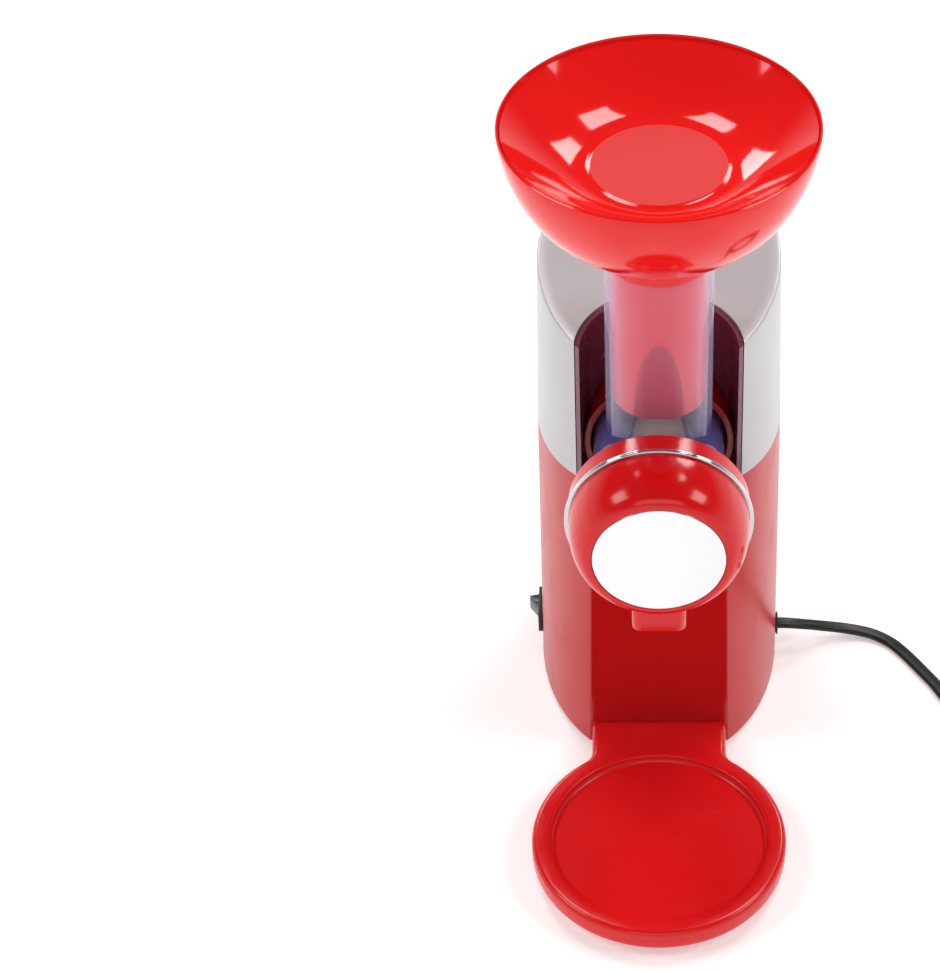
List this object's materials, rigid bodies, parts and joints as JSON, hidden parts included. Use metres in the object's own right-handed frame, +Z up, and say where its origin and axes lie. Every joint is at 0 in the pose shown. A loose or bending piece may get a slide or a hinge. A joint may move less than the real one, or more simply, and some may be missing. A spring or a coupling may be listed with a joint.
{
  "type": "ice cream maker",
  "caption": "Frozen-fruit ice cream maker: oval motor column with a silver cover, clear feed chute, bowl-topped plunger, domed outlet cap with spout, and a round drip tray.",
  "frame": {"origin": "middle of the part's footprint without its cord, on the table under the feet", "axes": "+Z up, -Y to the front where the cap and tray are, +X to the side the cord leaves from"},
  "size_m": [0.2965, 0.2812, 0.3565],
  "materials": {
    "body_red": "semi-gloss moulded red",
    "front_panel_red": "high-gloss deep red",
    "cover_silver": "satin silver",
    "bay_plum": "semi-gloss dark plum",
    "seat_red": "semi-gloss dark red",
    "clear_chute": "clear moulded plastic, polished",
    "bowl_red": "polished bright red, matte floor",
    "cap_red": "polished bright red",
    "chrome_trim": "bright plated",
    "badge_white": "blank polished disc",
    "black_plastic": "matte black",
    "rocker_black": "satin dark grey",
    "cord_black": "matte black sheath",
    "rubber": "matte rubber",
    "steel": "plain steel",
    "grey_plastic": "matte grey",
    "white_nylon": "natural nylon",
    "brass": "machined",
    "copper": "turned copper",
    "ferrite": "dark sintered"
  },
  "bodies": {
    "base": {"body_shell": "body_red", "top_cover": "cover_silver", "bay_liner": "bay_plum", "front_panel": "front_panel_red", "base_tray": "body_red", "base_plate": "black_plastic", "foot_1": "rubber", "foot_2": "rubber", "foot_3": "rubber", "foot_4": "rubber", "base_screw_1": "steel", "base_screw_2": "steel", "base_screw_3": "steel", "base_screw_4": "steel", "rear_screw_left": "steel", "rear_screw_right": "steel", "drive_seat": "seat_red", "gear_case": "grey_plastic", "gear_cover": "grey_plastic", "gear_screw_1": "steel", "gear_screw_2": "steel", "output_bush": "brass", "shaft_seal": "rubber", "idler_pin": "steel", "motor_can": "steel", "motor_front_bell": "grey_plastic", "motor_rear_bell": "grey_plastic", "magnet_left": "ferrite", "magnet_right": "ferrite", "motor_cradle": "grey_plastic", "switch_housing": "black_plastic", "cord_bushing": "black_plastic", "cord_clamp": "grey_plastic", "cord": "cord_black", "cord_coil": "cord_black", "cord_tail": "cord_black", "cord_tie": "cord_black", "plug": "black_plastic"},
    "rotor": {"motor_shaft": "steel", "rotor_core": "steel", "commutator": "copper", "fan": "black_plastic", "pinion": "brass"},
    "idler": {"idler_gear": "white_nylon"},
    "drive": {"output_gear": "white_nylon", "drive_shaft": "steel"},
    "switch_rocker": {"rocker": "rocker_black"},
    "feed_chute": {"chute": "clear_chute", "chute_seal": "rubber"},
    "cone": {"blade_cone": "white_nylon", "cone_blade_1": "steel", "cone_blade_2": "steel", "cone_blade_3": "steel", "cone_blade_4": "steel"},
    "pusher": {"plunger": "bowl_red", "plunger_dish": "bowl_red"},
    "turning_seal": {"cap_seal": "rubber"},
    "front_cap": {"outlet_cap": "cap_red", "cap_ring": "chrome_trim", "badge_disc": "badge_white"}
  },
  "joints": [
    {"name": "chute_pull", "type": "slide", "parent": "base", "child": "feed_chute", "axis": [0, -1, 0], "range_m": [0, 0.08]},
    {"name": "plunger_lift", "type": "slide", "parent": "feed_chute", "child": "pusher", "axis": [0, 0, 1], "range_m": [0, 0.08]},
    {"name": "cap_twist", "type": "hinge", "parent": "feed_chute", "child": "turning_seal", "pos_m": [0, -0.0504, 0.18], "axis": [0, 1, 0], "range_deg": [0, 40]},
    {"name": "cap_pull", "type": "slide", "parent": "turning_seal", "child": "front_cap", "axis": [0, -1, 0], "range_m": [0, 0.03]},
    {"name": "rotor_spin", "type": "hinge", "parent": "base", "child": "rotor", "pos_m": [0, 0.0566, 0.0975], "axis": [0, 1, 0], "continuous": true},
    {"name": "idler_spin", "type": "hinge", "parent": "base", "child": "idler", "pos_m": [0, 0.0476, 0.1275], "axis": [0, 1, 0], "continuous": true},
    {"name": "drive_spin", "type": "hinge", "parent": "base", "child": "drive", "pos_m": [0, 0.0476, 0.18], "axis": [0, 1, 0], "continuous": true},
    {"name": "cone_spin", "type": "hinge", "parent": "feed_chute", "child": "cone", "pos_m": [0, -0.0034, 0.18], "axis": [0, 1, 0], "continuous": true},
    {"name": "switch_rock", "type": "hinge", "parent": "base", "child": "switch_rocker", "pos_m": [-0.0566, 0.0595, 0.023], "axis": [0, 0, 1], "range_deg": [-22, 0]}
  ],
  "couplings": [
    {"joint": "idler_spin", "follows": "rotor_spin", "ratio": -0.33333},
    {"joint": "drive_spin", "follows": "rotor_spin", "ratio": 0.25},
    {"joint": "cone_spin", "follows": "rotor_spin", "ratio": 0.25}
  ]
}
